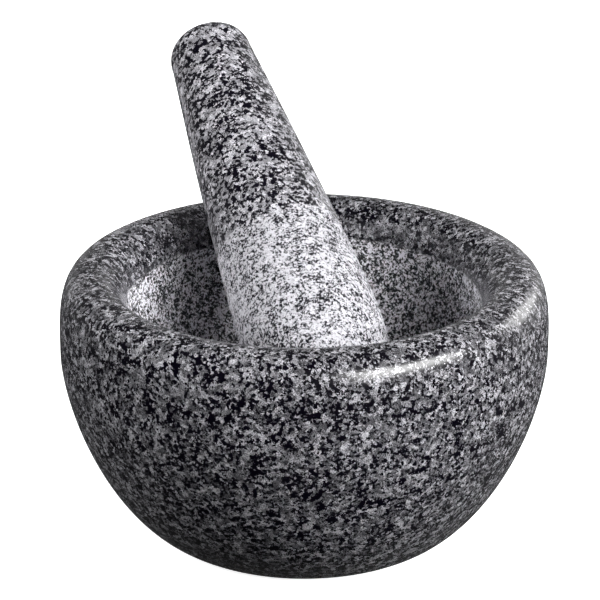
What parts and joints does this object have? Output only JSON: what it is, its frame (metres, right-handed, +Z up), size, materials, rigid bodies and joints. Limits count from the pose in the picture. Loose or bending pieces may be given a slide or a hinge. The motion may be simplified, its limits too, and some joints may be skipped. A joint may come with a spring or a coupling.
{
  "type": "mortar and pestle",
  "caption": "Heavy round granite mortar bowl, polished outside and rough in its grinding hollow, with a loose club-shaped granite pestle leaning on the rim.",
  "frame": {"origin": "centre of the flat underside that the bowl stands on, on the bowl's axis", "axes": "+Z up along the bowl's axis; +Y away from the side that faces the viewer; the pestle's handle leans towards +Y and a little towards -X"},
  "size_m": [0.15, 0.1755, 0.136],
  "materials": {
    "bowl_stone": "gloss",
    "pestle_stone": "satin"
  },
  "bodies": {
    "bowl": {"mortar_bowl": "bowl_stone"},
    "pestle": {"pestle": "pestle_stone"}
  },
  "joints": [
    {"name": "pestle_lift", "type": "slide", "parent": "bowl", "child": "pestle", "axis": [0, 0, 1], "range_m": [0, 0.09]}
  ]
}
